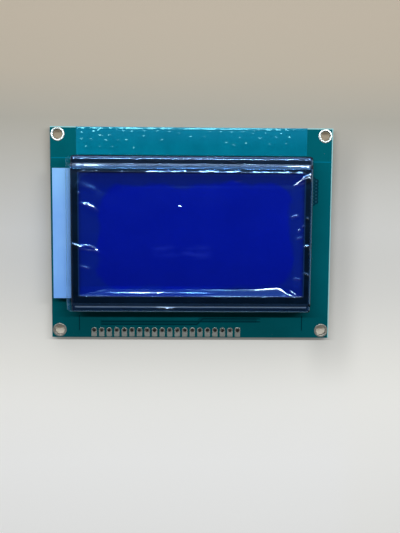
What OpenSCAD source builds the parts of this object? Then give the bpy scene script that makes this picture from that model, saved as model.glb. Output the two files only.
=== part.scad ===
// Graphic LCD module: a framed display with an edge-lit backlight on a circuit board.
// It lies on its back, display up, with +X to the display's right and +Y to its top.
// All sizes are in millimetres.

/* [Board] */
// Width of the circuit board
board_w = 93; // [90:0.5:100]
// Height of the circuit board
board_h = 70; // [66:0.5:80]
// Thickness of the circuit board
board_t = 1.6; // [0.8:0.1:2.4]
// Thickness of the tinned copper on the board and in its holes
copper_t = 0.05; // [0.03:0.01:0.1]
// Bare margin between copper and the board's edges
edge_margin = 0.2; // [0.1:0.05:0.5]

/* [Mounting holes] */
// Bore of each corner hole
hole_d = 3.2; // [2.2:0.1:3.5]
// Distance from a corner hole's centre to the board's edges
hole_inset = 2.5; // [2.1:0.1:3]
// Width of the tinned ring round each corner hole
hole_pad_d = 5; // [4.2:0.1:5.4]

/* [Header row] */
// Number of header holes
pin_count = 20; // [16:1:22]
// Distance between header holes
pin_pitch = 2.54; // [2:0.01:2.6]
// Bore of each header hole
pin_hole_d = 1; // [0.7:0.05:1.2]
// Width of each header pad
pin_pad_w = 1.8; // [1.5:0.05:1.9]
// Distance from the board's left edge to the first header hole
pin_start = 14; // [8:0.5:20]
// Distance from the board's lower edge to the header row
pin_inset = 2.5; // [1.6:0.1:3.5]

/* [Bezel] */
// Width of the window
window_w = 72.4; // [68:0.2:74]
// Height of the window
window_h = 40; // [36:0.2:43]
// Corner radius of the window
window_r = 0.8; // [0.3:0.1:2]
// Width of the bezel at the window's sides
side_rail_w = 2.8; // [2.2:0.1:4]
// Width of the raised front above and below the window
lip_w = 1.8; // [1.4:0.1:3]
// Thickness of the bezel's sheet
sheet_t = 0.5; // [0.3:0.05:0.6]
// Outer radius of the bends round the bezel's front
bend_r = 1.2; // [0.65:0.05:1.4]
// Outer radius of the bezel's upright corners
corner_r = 1.2; // [0.9:0.1:2]
// Width of the low ledge along the bezel's long sides
ledge_w = 2.4; // [1.6:0.1:2.8]
// Width of the slope from the ledge to the raised front
step_run = 1.2; // [0.6:0.1:1.4]
// Height of the raised front above the ledge
step_rise = 0.8; // [0.4:0.1:1.2]
// Distance of the raised front's centre below the window's
front_drop = 0.4; // [0:0.1:0.5]
// Height of the display's centre above the board's centre
display_y = 0.2; // [-1:0.1:1.5]

/* [Bezel tabs] */
// Number of twisted tabs on each long side
tab_count = 4; // [2:1:4]
// Distance between tabs
tab_pitch = 19; // [12:1:23]
// Width of a tab
tab_w = 2.2; // [1.6:0.1:3]
// Length of a tab behind the board
tab_out = 1.8; // [1.6:0.1:3]
// Turn of a tab's end
tab_twist = 40; // [25:1:60]
// Room round a tab in its slot
slot_gap = 0.15; // [0.1:0.05:0.4]

/* [Display cell] */
// Thickness of each glass plate
glass_t = 1.1; // [0.7:0.1:1.4]
// Room between the glass and the bezel's walls
glass_gap = 0.5; // [0.2:0.1:0.8]
// Thickness of each polarizer
polarizer_t = 0.2; // [0.1:0.05:0.3]
// Reach of the polarizers past the window on each side
polarizer_lap = 1; // [0.4:0.1:1.2]
// Width of each rubber contact strip
zebra_w = 2; // [1.4:0.1:2.2]
// Distance from the front glass's long edges to the contact strips
zebra_edge = 0.4; // [0.2:0.1:0.7]
// Distance from the glass's short edges to the contact strips' ends
zebra_end = 2.5; // [1:0.5:8]
// Air between a contact strip and the rear glass
zebra_gap = 0.4; // [0.2:0.1:0.6]

/* [Backlight] */
// Thickness of the light guide
guide_t = 4.7; // [3:0.1:6]
// Distance from the rear glass's long edges to the light guide's
guide_inset = 0.2; // [0.1:0.05:0.8]
// Thickness of the diffuser film
diffuser_t = 0.2; // [0.1:0.05:0.4]
// Thickness of the reflector film
reflector_t = 0.2; // [0.15:0.05:0.4]
// Thickness of the film wrapped round the lamp end
wrap_t = 0.15; // [0.1:0.05:0.2]
// Bare board left of the lamp end
tail_margin = 1.4; // [0.5:0.1:2.4]
// Gap between the wrap's inner edge and the diffuser
wrap_gap = 0.2; // [0.1:0.05:0.3]
// Room round the lamp end in the bezel's cut-out
cutout_gap = 0.3; // [0.1:0.1:0.6]
// Thickness of the lamp board
led_board_t = 0.6; // [0.4:0.1:1]
// Number of lamps
led_count = 6; // [2:1:6]
// Distance between lamps
led_pitch = 6.2; // [3.6:0.1:7]
// Width of a lamp
led_w = 3; // [2:0.1:3.5]
// Height of a lamp
led_h = 2; // [1:0.1:2.6]
// Depth of a lamp
led_depth = 1; // [0.6:0.1:1.4]
// Air between the lamps and the light guide
led_gap = 0.1; // [0.05:0.05:0.4]
// Width of a lead
lead_d = 0.5; // [0.4:0.05:0.7]
// Room round a lead in its hole
lead_gap = 0.1; // [0.05:0.05:0.2]
// Distance from the lamp board's ends to the leads
lead_inset = 1.2; // [0.6:0.1:2]
// Length of a lead behind the board
lead_out = 0.9; // [0.5:0.1:1.4]
// Height of a lead above the board's face
lead_rise = 2.4; // [1:0.1:2.8]
// Foot width of the solder on a lead
lead_solder_d = 1.8; // [1.3:0.1:2.4]
// Height of the solder on a lead
lead_solder_h = 0.7; // [0.3:0.1:0.9]

/* [Protective film] */
// Thickness of the film
film_t = 0.1; // [0.05:0.05:0.2]
// Reach of the film past the bezel's left side
film_overhang = 1.4; // [0:0.1:2]
// Bare margin of the bezel at the film's other sides
film_margin = 0.3; // [0:0.1:0.8]
// Corner radius of the film
film_corner_r = 1; // [0.4:0.1:2]
// Free span of the film from the window's left edge to the screen
film_span_left = 6; // [2:0.5:10]
// Free span from the window's right edge
film_span_right = 4; // [2:0.5:10]
// Free span from the window's upper edge
film_span_top = 4.6; // [2:0.2:10]
// Free span from the window's lower edge
film_span_bottom = 2.8; // [2:0.2:10]
// Corner radius of the patch that lies on the screen
film_patch_r = 4; // [1:0.5:8]

/* [Board face] */
// Distance from the copper pour's ends to the corner rings
pour_gap = 3.5; // [0.5:0.1:8]
// Bare margin above the copper pour
pour_margin = 0.7; // [0.4:0.1:2]
// Gap between the bezel and the copper on the board's face
copper_gap = 0.3; // [0.1:0.1:1]
// Width of a trace
trace_w = 0.3; // [0.15:0.05:0.5]
// Distance between traces
trace_pitch = 1; // [0.6:0.1:1.1]
// Distance from the bezel's upper side down to the line at its left
side_line_drop = 0.8; // [0.6:0.1:4]
// Distance of the line at the bezel's right below the left one
side_line_stagger = 0.8; // [0:0.1:3]
// Distance from the corner rings to the upright lines below the bezel
upright_offset = 4.1; // [0.5:0.1:8]
// Distance from the bezel's lower side to the upright lines
upright_gap = 2.6; // [0.5:0.1:4]
// Header hole above which the lanes step up
lane_step_pin = 15; // [3:1:16]
// Length of the lanes past the last header hole
lane_tail = 7.5; // [0:0.5:12]
// Width of a via's ring
via_d = 0.7; // [0.5:0.05:0.8]
// Bore of a via
via_hole_d = 0.3; // [0.2:0.05:0.4]
// Distance between vias in a column
via_pitch = 1.12; // [0.9:0.02:1.4]
// Distance between the two via columns
via_columns = 0.9; // [0.8:0.05:1.4]
// Number of vias in the longer column
via_count = 8; // [2:1:10]
// Distance from the bezel's right side to the first via column
via_offset = 1.4; // [0.8:0.1:3]
// Height of the top via above the display's centre
via_top = 18; // [6:0.5:20]

/* [Back components] */
// Width of the controller's resin cap
controller_d = 17; // [12:0.5:20]
// Height of the controller's resin cap
controller_h = 1.4; // [0.8:0.1:1.5]
// Width of a driver's resin cap
driver_d = 14; // [10:0.5:17]
// Height of a driver's resin cap
driver_h = 1.3; // [0.8:0.1:1.5]
// Distance from the board's sides to each driver's centre
driver_inset = 19.5; // [15:0.5:26]
// Height of the resin caps' centres above the board's centre
cap_y = 6; // [0:0.5:12]
// Length of a chip part
chip_l = 2; // [1.6:0.1:2.2]
// Width of a chip part
chip_w = 1.25; // [0.8:0.05:1.6]
// Height of a resistor
resistor_h = 0.55; // [0.4:0.05:0.8]
// Height of a capacitor
capacitor_h = 0.95; // [0.6:0.05:1.2]
// Number of resistors
resistor_count = 8; // [2:1:10]
// Number of capacitors
capacitor_count = 5; // [2:1:10]
// Distance between chip parts in a row
chip_pitch = 5.5; // [4:0.1:6]
// Distance from the resin caps' centres down to the resistors
resistor_drop = 17; // [13:0.5:18]
// Distance between the two rows of chip parts
chip_rows = 4.5; // [2:0.5:7]
// Reach of the solder past a chip part's ends
solder_reach = 0.5; // [0.3:0.05:0.8]

/* [Hidden] */
$fn = 48;

// Overlap of cutting shapes past the faces that they cut
cut = 1;
// Rim of solder round a lead at the solder's top
solder_rim = 0.15;
// Share of a chip's height that its solder climbs, and where the solder's hollow lies along both its legs
solder_climb = 0.8;
solder_hollow = 0.35;
// Slices in a tab's twist
twist_slices = 6;

// Levels, from the tabs' ends up
z_back = tab_out;
z_face = z_back + board_t;
z_guide = z_face + reflector_t;
z_diffuser = z_guide + guide_t;
z_rear_polarizer = z_diffuser + diffuser_t;
z_rear_glass = z_rear_polarizer + polarizer_t;
z_front_glass = z_rear_glass + glass_t;
z_front_polarizer = z_front_glass + glass_t;
z_screen = z_front_polarizer + polarizer_t;
z_ledge = z_front_polarizer + sheet_t;
z_front = z_ledge + step_rise;

// Board
hole_x = board_w / 2 - hole_inset;
hole_y = board_h / 2 - hole_inset;
pin_y = -board_h / 2 + pin_inset;
function pin_x(i) = -board_w / 2 + pin_start + i * pin_pitch;

// Bezel
bezel_w = window_w + 2 * side_rail_w;
bezel_h = window_h + 2 * (lip_w + step_run + ledge_w);
bezel_top = display_y + bezel_h / 2;
bezel_bottom = display_y - bezel_h / 2;
step_angle = atan2(step_rise, step_run);
wall_y = bezel_h / 2 - sheet_t / 2;
function tab_x(i) = (i - (tab_count - 1) / 2) * tab_pitch;

// Display cell, which stays clear of the bezel's walls and of the bends above them
cell_room = max(sheet_t + glass_gap, bend_r);
glass_w = bezel_w - 2 * cell_room;
front_glass_h = bezel_h - 2 * cell_room;
zebra_y = front_glass_h / 2 - zebra_edge - zebra_w / 2;
rear_glass_h = 2 * (zebra_y - zebra_w / 2 - zebra_gap);

// Backlight
guide_h = rear_glass_h - 2 * guide_inset;
tail_x = -board_w / 2 + tail_margin;
led_board_x = tail_x + wrap_t;
led_x = led_board_x + led_board_t;
guide_x = led_x + led_depth + led_gap;
guide_end = glass_w / 2;
wrap_end = -glass_w / 2 - wrap_gap;
lead_x = led_x + lead_d / 2;
lead_y = guide_h / 2 - lead_inset;
led_board_h = guide_t + reflector_t - wrap_t;

// Board face
ring_x = hole_x - hole_pad_d / 2;
pour_w = 2 * (ring_x - pour_gap);
pour_bottom = bezel_top + copper_gap;
pour_top = board_h / 2 - pour_margin;
lane_y = pin_y + pin_pad_w / 2 + trace_pitch;

// Back components
driver_x = board_w / 2 - driver_inset;

// Rectangle about the origin with round corners
module round_rect(w, h, r) {
  square([w - 2 * r, h], center = true);
  square([w, h - 2 * r], center = true);
  for (x = [-1, 1], y = [-1, 1])
    translate([x * (w / 2 - r), y * (h / 2 - r)]) circle(r);
}

// Upright section, centred across, from level z0 to z1 with round upper corners
module arched_section(w, z0, z1, r) {
  translate([-w / 2, z0]) square([w, z1 - r - z0]);
  translate([-w / 2 + r, z0]) square([w - 2 * r, z1 - z0]);
  for (x = [-1, 1])
    translate([x * (w / 2 - r), z1 - r]) circle(r);
}

// Section with its own X along +Y and its own Y along +Z, run from x0 to x1
module along_x(x0, x1) {
  translate([x0, 0, 0]) rotate([90, 0, 90]) linear_extrude(x1 - x0) children();
}

// Section with its own Y along +Z, run from y0 to y1
module along_y(y0, y1) {
  translate([0, y1, 0]) rotate([90, 0, 0]) linear_extrude(y1 - y0) children();
}

// Plate from level z up, centred on the display
module display_plate(w, h, z, t) {
  translate([0, display_y, z + t / 2]) cube([w, h, t], center = true);
}

// Copper on the board's face at level z, clear of the board's edges
module copper_on(z) {
  translate([0, 0, z]) linear_extrude(copper_t) intersection() {
    square([board_w - 2 * edge_margin, board_h - 2 * edge_margin], center = true);
    children();
  }
}

// Copper shape on both faces of the board
module both_faces() {
  copper_on(z_face) children();
  copper_on(z_back - copper_t) children();
}

// Hole through the board, copper included
module board_hole(x, y, d) {
  translate([x, y, z_back - cut]) cylinder(d = d, h = board_t + 2 * cut);
}

// Stepped front from lower to upper edge, moved out by d along its own faces
function step_points(d) =
  let (
    shift = d * tan(step_angle / 2),
    y_ledge = bezel_h / 2 - ledge_w + shift,
    y_lip = y_ledge - step_run
  )
  [
    for (p = [[-y_ledge, z_ledge], [-y_lip, z_front], [y_lip, z_front], [y_ledge, z_ledge]])
      p + [-front_drop, d]
  ];

// One level of the bezel's form: rounded along both sides and at its upright corners
module bezel_level(z_top, d, foot) {
  w = bezel_w + 2 * d;
  intersection() {
    along_y(-bezel_h, bezel_h) arched_section(w, foot, z_top + d, bend_r + d);
    translate([0, 0, foot]) linear_extrude(z_front)
      round_rect(w, bezel_h + 2 * d, corner_r + d);
    children();
  }
}

// The bezel's whole form from level foot up, moved out by d
module bezel_form(d, foot) {
  step = step_points(d);
  bezel_level(z_ledge, d, foot)
    along_x(-bezel_w, bezel_w) arched_section(bezel_h + 2 * d, foot, z_ledge + d, bend_r + d);
  bezel_level(z_front, d, foot)
    along_x(-bezel_w, bezel_w)
      polygon(concat([[step[0][0], foot]], step, [[step[3][0], foot]]));
}

// Tab that runs down from a long wall, through the board, to its twisted end
module tab() {
  translate([-tab_w / 2, -sheet_t / 2, z_back]) cube([tab_w, sheet_t, board_t]);
  rotate([0, 0, tab_twist]) linear_extrude(tab_out, twist = tab_twist, slices = twist_slices, segments = 4)
    square([tab_w, sheet_t], center = true);
}

module tab_places() {
  for (i = [0 : tab_count - 1], side = [-1, 1])
    translate([tab_x(i), display_y + side * wall_y, 0]) children();
}

module bezel() {
  color("#10161c") {
    translate([0, display_y, 0]) difference() {
      bezel_form(0, z_face);
      bezel_form(-sheet_t, z_face - cut);
      translate([0, 0, z_face]) linear_extrude(z_front) round_rect(window_w, window_h, window_r);
      // room for the lamp end in the left wall
      along_y(-guide_h / 2 - cutout_gap, guide_h / 2 + cutout_gap)
        translate([-bezel_w, 0]) square([bezel_w / 2 + 2 * sheet_t, z_diffuser + wrap_t + cutout_gap]);
    }
    tab_places() tab();
  }
}

module pcb() {
  color("#00606c") difference() {
    translate([-board_w / 2, -board_h / 2, z_back]) cube([board_w, board_h, board_t]);
    for (x = [-hole_x, hole_x], y = [-hole_y, hole_y])
      board_hole(x, y, hole_d + 2 * copper_t);
    for (i = [0 : pin_count - 1])
      board_hole(pin_x(i), pin_y, pin_hole_d + 2 * copper_t);
    for (y = [-lead_y, lead_y])
      board_hole(lead_x, display_y + y, lead_d + 2 * lead_gap);
    tab_places() translate([0, 0, z_back + board_t / 2])
      cube([tab_w + 2 * slot_gap, sheet_t + 2 * slot_gap, board_t + 2 * cut], center = true);
  }
}

// Plating that lines a hole through the board
module barrel(x, y, d) {
  translate([x, y, z_back]) cylinder(d = d + 2 * copper_t, h = board_t);
}

module mounting_pads() {
  color("#c8d0cc") for (x = [-hole_x, hole_x], y = [-hole_y, hole_y])
    difference() {
      union() {
        both_faces() translate([x, y]) circle(d = hole_pad_d);
        barrel(x, y, hole_d);
      }
      board_hole(x, y, hole_d);
    }
}

// Header pad: round at the top, straight down to the board's lower edge, square on the last hole
module pin_pad(x, last) {
  foot = board_h / 2 + pin_y;
  translate([x - pin_pad_w / 2, pin_y - foot])
    square([pin_pad_w, foot + (last ? pin_pad_w / 2 : 0)]);
  translate([x, pin_y]) circle(d = pin_pad_w);
}

module pin_pads() {
  color("#9a9f98") for (i = [0 : pin_count - 1])
    difference() {
      union() {
        both_faces() pin_pad(pin_x(i), i == pin_count - 1);
        barrel(pin_x(i), pin_y, pin_hole_d);
      }
      board_hole(pin_x(i), pin_y, pin_hole_d);
    }
}

module copper_pour() {
  color("#007590") copper_on(z_face)
    translate([-pour_w / 2, pour_bottom]) square([pour_w, pour_top - pour_bottom]);
}

// Trace along a list of points
module trace(points) {
  for (i = [0 : len(points) - 2]) {
    run = points[i + 1] - points[i];
    translate(points[i]) rotate(atan2(run[1], run[0]))
      translate([0, -trace_w / 2]) square([norm(run), trace_w]);
  }
  for (p = points)
    translate(p) circle(d = trace_w / cos(180 / 8), $fn = 8);
}

module front_traces() {
  side = bezel_w / 2 + copper_gap;
  side_y = bezel_top - side_line_drop;
  upright_x = ring_x - upright_offset;
  bend = pin_x(lane_step_pin - 1) - trace_pitch;
  color("#2a8a96") copper_on(z_face) {
    // short lines from the bezel's sides out to the board's edges
    for (x = [-1, 1])
      trace([for (end = [side, board_w / 2]) [x * end, side_y - (x + 1) / 2 * side_line_stagger]]);
    // lanes above the left part of the header row, which step up one lane at its middle
    for (k = [0, 1])
      trace([
        [pin_x(1), lane_y + k * trace_pitch],
        [bend + k * trace_pitch, lane_y + k * trace_pitch],
        [bend + (k + 1) * trace_pitch, lane_y + (k + 1) * trace_pitch],
        [pin_x(pin_count - 1) + lane_tail, lane_y + (k + 1) * trace_pitch]
      ]);
    // uprights at the two ends of the lower margin
    for (x = [-1, 1])
      trace([[x * upright_x, bezel_bottom - upright_gap], [x * upright_x, pin_y]]);
  }
}

module via_rings() {
  color("#5aa6ac") for (column = [0, 1])
    for (i = [0 : via_count - 1 - column])
      translate([
        bezel_w / 2 + via_offset + column * via_columns,
        display_y + via_top - (i + column / 2) * via_pitch,
        z_face
      ]) difference() {
        cylinder(d = via_d, h = copper_t);
        translate([0, 0, -copper_t]) cylinder(d = via_hole_d, h = 3 * copper_t);
      }
}

// Space over the film where it dips from the window's edge, at height lift over the bezel, to the screen
module film_dip(lift, top) {
  patch_w = window_w - film_span_left - film_span_right;
  patch_h = window_h - film_span_top - film_span_bottom;
  hull() {
    translate([
      (film_span_left - film_span_right) / 2,
      (film_span_bottom - film_span_top) / 2,
      z_screen + lift
    ]) linear_extrude(film_t) round_rect(patch_w, patch_h, film_patch_r, $fn = 32);
    translate([0, 0, z_front + lift]) linear_extrude(top)
      round_rect(window_w, window_h, window_r, $fn = 32);
  }
}

module protective_film() {
  x0 = -bezel_w / 2 - film_overhang;
  x1 = bezel_w / 2 - film_margin;
  y_end = bezel_h / 2 - film_margin;
  under = step_points(0);
  over = step_points(film_t);
  color("#b8c8f0", 0.35) translate([0, display_y, 0]) difference() {
    union() {
      intersection() {
        along_x(x0, x1)
          polygon(concat(
            [[-y_end, z_ledge]], under, [[y_end, z_ledge], [y_end, z_ledge + film_t]],
            [for (i = [3 : -1 : 0]) over[i]], [[-y_end, z_ledge + film_t]]
          ));
        translate([(x0 + x1) / 2, 0, z_ledge - cut]) linear_extrude(step_rise + film_t + 2 * cut)
          round_rect(x1 - x0, 2 * y_end, film_corner_r);
      }
      film_dip(0, film_t);
    }
    film_dip(film_t, cut);
  }
}

// Polarizer sheet that reaches past the window on every side
module polarizer(z) {
  display_plate(window_w + 2 * polarizer_lap, window_h + 2 * polarizer_lap, z, polarizer_t);
}

module front_polarizer() {
  color("#0a1a92") polarizer(z_front_polarizer);
}

module front_glass() {
  color("#8fb0b8", 0.6) display_plate(glass_w, front_glass_h, z_front_glass, glass_t);
}

module rear_glass() {
  color("#88a8b4", 0.6) display_plate(glass_w, rear_glass_h, z_rear_glass, glass_t);
}

module rear_polarizer() {
  color("#2a2f58") polarizer(z_rear_polarizer);
}

module diffuser_film() {
  color("#f2f4f4") display_plate(glass_w, guide_h, z_diffuser, diffuser_t);
}

module guide_plate(z, t) {
  translate([guide_x, display_y - guide_h / 2, z]) cube([guide_end - guide_x, guide_h, t]);
}

module light_guide() {
  color("#d8e8f0", 0.6) guide_plate(z_guide, guide_t);
}

module reflector_film() {
  color("#f8f8f8") guide_plate(z_face, reflector_t);
}

module lead_places() {
  for (y = [-lead_y, lead_y])
    translate([lead_x, display_y + y, 0]) children();
}

module backlight_wrap() {
  color("#7fb2f4") difference() {
    along_y(display_y - guide_h / 2, display_y + guide_h / 2) difference() {
      translate([tail_x, z_face]) square([wrap_end - tail_x, z_diffuser + wrap_t - z_face]);
      translate([tail_x + wrap_t, z_face + wrap_t]) square([board_w, z_diffuser - z_face - wrap_t]);
      translate([guide_x - led_gap, z_face - cut]) square([board_w, cut + wrap_t]);
    }
    lead_places() translate([0, 0, z_face - cut]) cylinder(d = lead_d + 2 * lead_gap, h = 2 * cut);
  }
}

module led_board() {
  color("#e8eee4") translate([led_board_x, display_y - guide_h / 2, z_face + wrap_t])
    cube([led_board_t, guide_h, led_board_h]);
}

module leds() {
  color("#f4e68a") for (i = [0 : led_count - 1])
    translate([
      led_x + led_depth / 2,
      display_y + (i - (led_count - 1) / 2) * led_pitch,
      z_guide + guide_t / 2
    ]) cube([led_depth, led_w, led_h], center = true);
}

module backlight_leads() {
  color("#c9ccca") lead_places() translate([0, 0, z_back - lead_out])
    cylinder(d = lead_d, h = lead_out + board_t + lead_rise);
}

module lead_solder() {
  color("#d2d6d6") lead_places() translate([0, 0, z_back - lead_solder_h]) difference() {
    cylinder(d1 = lead_d + 2 * solder_rim, d2 = lead_solder_d, h = lead_solder_h);
    translate([0, 0, -cut]) cylinder(d = lead_d, h = lead_solder_h + 2 * cut);
  }
}

module zebra_strip(side) {
  translate([-glass_w / 2 + zebra_end, display_y + side * zebra_y - zebra_w / 2, z_face])
    cube([glass_w - 2 * zebra_end, zebra_w, z_front_glass - z_face]);
}

module zebra_strip_top() {
  color("#c9b7c4") zebra_strip(1);
}

module zebra_strip_bottom() {
  color("#c9b7c4") zebra_strip(-1);
}

// Drop of resin on the board's back: a cap cut from a sphere
module resin_cap(x, d, h) {
  ball = (d * d / 4 + h * h) / (2 * h);
  translate([x, cap_y, z_back]) intersection() {
    translate([0, 0, ball - h]) sphere(ball, $fn = 240);
    translate([0, 0, -h]) cylinder(d = d + cut, h = h);
  }
}

module controller_glob() {
  color("#14161a") resin_cap(0, controller_d, controller_h);
}

module driver_glob_left() {
  color("#14161a") resin_cap(-driver_x, driver_d, driver_h);
}

module driver_glob_right() {
  color("#14161a") resin_cap(driver_x, driver_d, driver_h);
}

// Row of chip parts on the board's back
module chip_row(count, drop) {
  for (i = [0 : count - 1])
    translate([(i - (count - 1) / 2) * chip_pitch, cap_y - drop, z_back]) children();
}

module chip_body(h) {
  translate([-chip_l / 2, -chip_w / 2, -h]) cube([chip_l, chip_w, h]);
}

// Solder that climbs both ends of a chip part
module chip_ends(h) {
  climb = h * solder_climb;
  for (side = [0, 1]) mirror([side, 0, 0])
    translate([chip_l / 2, 0, 0]) along_y(-chip_w / 2, chip_w / 2)
      polygon([[0, 0], [solder_reach, 0], solder_hollow * [solder_reach, -climb], [0, -climb]]);
}

module chip_resistors() {
  color("#1c1e20") chip_row(resistor_count, resistor_drop) chip_body(resistor_h);
}

module chip_capacitors() {
  color("#b08a5a") chip_row(capacitor_count, resistor_drop + chip_rows) chip_body(capacitor_h);
}

module chip_solder() {
  color("#d2d6d6") {
    chip_row(resistor_count, resistor_drop) chip_ends(resistor_h);
    chip_row(capacitor_count, resistor_drop + chip_rows) chip_ends(capacitor_h);
  }
}

pcb();
mounting_pads();
pin_pads();
copper_pour();
front_traces();
via_rings();
bezel();
protective_film();
front_polarizer();
front_glass();
rear_glass();
rear_polarizer();
diffuser_film();
light_guide();
reflector_film();
backlight_wrap();
led_board();
leds();
backlight_leads();
lead_solder();
zebra_strip_top();
zebra_strip_bottom();
controller_glob();
driver_glob_left();
driver_glob_right();
chip_resistors();
chip_capacitors();
chip_solder();
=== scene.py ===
"""Looks of a graphic LCD module: its finishes, clear film, solder, mask relief and studio."""
import math
from collections import namedtuple

import bmesh
import bpy
from mathutils import Matrix, Vector, noise


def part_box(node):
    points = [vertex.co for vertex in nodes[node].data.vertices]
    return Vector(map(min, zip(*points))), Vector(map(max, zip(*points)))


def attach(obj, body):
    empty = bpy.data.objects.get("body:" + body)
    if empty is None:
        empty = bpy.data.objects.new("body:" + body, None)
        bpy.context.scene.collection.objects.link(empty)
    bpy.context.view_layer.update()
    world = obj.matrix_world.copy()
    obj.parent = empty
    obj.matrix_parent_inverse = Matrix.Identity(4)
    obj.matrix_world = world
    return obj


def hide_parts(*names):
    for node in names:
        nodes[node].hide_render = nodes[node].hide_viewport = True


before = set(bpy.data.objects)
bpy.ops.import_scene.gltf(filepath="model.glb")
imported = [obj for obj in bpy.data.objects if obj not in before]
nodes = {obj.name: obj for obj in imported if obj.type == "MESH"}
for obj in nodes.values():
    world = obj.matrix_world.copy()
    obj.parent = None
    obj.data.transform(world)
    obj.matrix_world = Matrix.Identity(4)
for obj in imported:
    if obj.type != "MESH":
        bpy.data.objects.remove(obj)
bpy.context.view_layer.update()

# Lengths are in millimetres, and MM turns them into the frame's metres.
MM = 0.001


def box_mm(node):
    """Lowest and highest corner of a CAD node, in millimetres."""
    low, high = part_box(node)
    return low / MM, high / MM


BOARD_LOW, BOARD_HIGH = box_mm("pcb")
BOARD_BACK, BOARD_FACE = BOARD_LOW.z, BOARD_HIGH.z
SCREEN_LOW, SCREEN_HIGH = box_mm("front_polarizer")
SCREEN_Z = SCREEN_HIGH.z
DISPLAY_Y = (SCREEN_LOW.y + SCREEN_HIGH.y) / 2
BEZEL_X, _, LIP_Z = box_mm("bezel")[1]
FILM_LOW, FILM_HIGH = box_mm("protective_film")
VIA_LOW, VIA_HIGH = box_mm("via_rings")

# The bezel's section, measured from the display's centre
POLARIZER_LAP = 1.0
WINDOW_X = SCREEN_HIGH.x - POLARIZER_LAP
WINDOW_Y = SCREEN_HIGH.y - POLARIZER_LAP - DISPLAY_Y
LOWER_Y, UPPER_Y = DISPLAY_Y - WINDOW_Y, DISPLAY_Y + WINDOW_Y
LIP_W = 1.8
STEP_RUN = 1.2
STEP_RISE = 0.8
STEP_SLOPE = STEP_RISE / STEP_RUN
LEDGE_W = 2.4
BEND_R = 1.2
# The raised front sits this much below the window's centre
FRONT_DROP = 0.4
LIP_TOP = WINDOW_Y + LIP_W - FRONT_DROP
LEDGE_Z = LIP_Z - STEP_RISE
LEDGE_Y = WINDOW_Y + LIP_W + STEP_RUN
BEZEL_Y = LEDGE_Y + LEDGE_W

# Corner holes and their tinned rings
RING_BORE = 1.6
RING_WALL = 0.05
RING_R = 2.5
BEAD_R = 2.28
RING_TALL = 0.07
EDGE_MARGIN = 0.2
PAD_HIGH = box_mm("mounting_pads")[1]
HOLE_X = PAD_HIGH.x - RING_R + EDGE_MARGIN
HOLE_Y = PAD_HIGH.y - RING_R + EDGE_MARGIN

# Header pads
PIN_LOW, PIN_HIGH = box_mm("pin_pads")
PIN_COUNT = 20
PIN_PITCH = 2.54
PIN_BORE = 0.5
PIN_HALF = 0.9
PIN_Y = PIN_HIGH.y - PIN_HALF
PIN_FOOT = PIN_Y - PIN_LOW.y
PIN_TALL = 0.06
PIN_SIDES = 48
FIRST_PIN = PIN_LOW.x + PIN_HALF


# Nodes


class Signal:
    """An output of a node. Sums with it become Math nodes in its tree."""

    def __init__(self, socket):
        self.socket = socket
        self.tree = socket.id_data

    def math(self, operation, *values):
        return read(self.tree, "Math", *values, operation=operation)

    def __add__(self, other):
        return self.math("ADD", self, other)

    def __sub__(self, other):
        return self.math("SUBTRACT", self, other)

    def __rsub__(self, other):
        return self.math("SUBTRACT", other, self)

    def __mul__(self, other):
        return self.math("MULTIPLY", self, other)

    def __rtruediv__(self, other):
        return self.math("DIVIDE", other, self)

    def __pow__(self, power):
        return self.math("POWER", self, power)

    def __abs__(self):
        return self.math("ABSOLUTE", self)


def feed(socket, value):
    """Links a signal to a socket, or sets its plain value, where a colour is red, green and blue."""
    if isinstance(value, Signal):
        value.tree.links.new(value.socket, socket)
    elif socket.type == "RGBA":
        socket.default_value = (*value, 1.0)
    else:
        socket.default_value = value


def add(tree, kind, *values, **settings):
    """Adds a node. Values fill its inputs in order, and settings its inputs or properties by name."""
    made = tree.nodes.new("ShaderNode" + kind)
    for name, value in settings.items():
        label = name.replace("_", " ").title()
        if label in made.inputs:
            feed(made.inputs[label], value)
        else:
            setattr(made, name, value)
    for socket, value in zip(made.inputs, values):
        feed(socket, value)
    return made


def read(tree, kind, *values, output=0, **settings):
    """Adds a node and returns one of its outputs."""
    return Signal(add(tree, kind, *values, **settings).outputs[output])


def larger(first, second):
    return first.math("MAXIMUM", first, second)


def smaller(first, second):
    return first.math("MINIMUM", first, second)


def between(value, low, high, to_low=0.0, to_high=1.0):
    """Value as it rises from low to high, smoothly spread from to_low to to_high."""
    return read(
        value.tree, "MapRange", interpolation_type="SMOOTHSTEP", value=value,
        from_min=low, from_max=high, to_min=to_low, to_max=to_high,
    )


def band(value, low, high, edge):
    """Mask that is 1 where value lies from low to high, and fades over edge."""
    return between(value, low - edge, low) * between(value, high, high + edge, 1.0, 0.0)


def blend(share, first, second):
    """Colour between first and second."""
    made = add(share.tree, "Mix", data_type="RGBA")
    for index, value in zip((0, 6, 7), (share, first, second)):
        feed(made.inputs[index], value)
    return Signal(made.outputs[2])


def ramp(value, stops):
    """Colour that changes with a value through stops, each a place and a colour."""
    made = add(value.tree, "ValToRGB", value)
    elements = made.color_ramp.elements
    while len(elements) < len(stops):
        elements.new(1.0)
    for element, (place, color) in zip(elements, stops):
        element.position = place
        element.color = (*color, 1.0)
    return Signal(made.outputs["Color"])


def length(first, second):
    """Length of a line that runs first along one axis and second along the other."""
    joined = read(first.tree, "CombineXYZ", first, second)
    return read(first.tree, "VectorMath", joined, operation="LENGTH", output="Value")


def split(vector):
    return [Signal(socket) for socket in add(vector.tree, "SeparateXYZ", vector).outputs]


def in_mm(place):
    return read(place.tree, "VectorMath", place, operation="SCALE", scale=1 / MM)


def clouds(place, rate, detail):
    """Smooth noise from 0 to 1."""
    return read(place.tree, "TexNoise", vector=place, scale=rate, detail=detail, output="Fac")


# Effects


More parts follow.
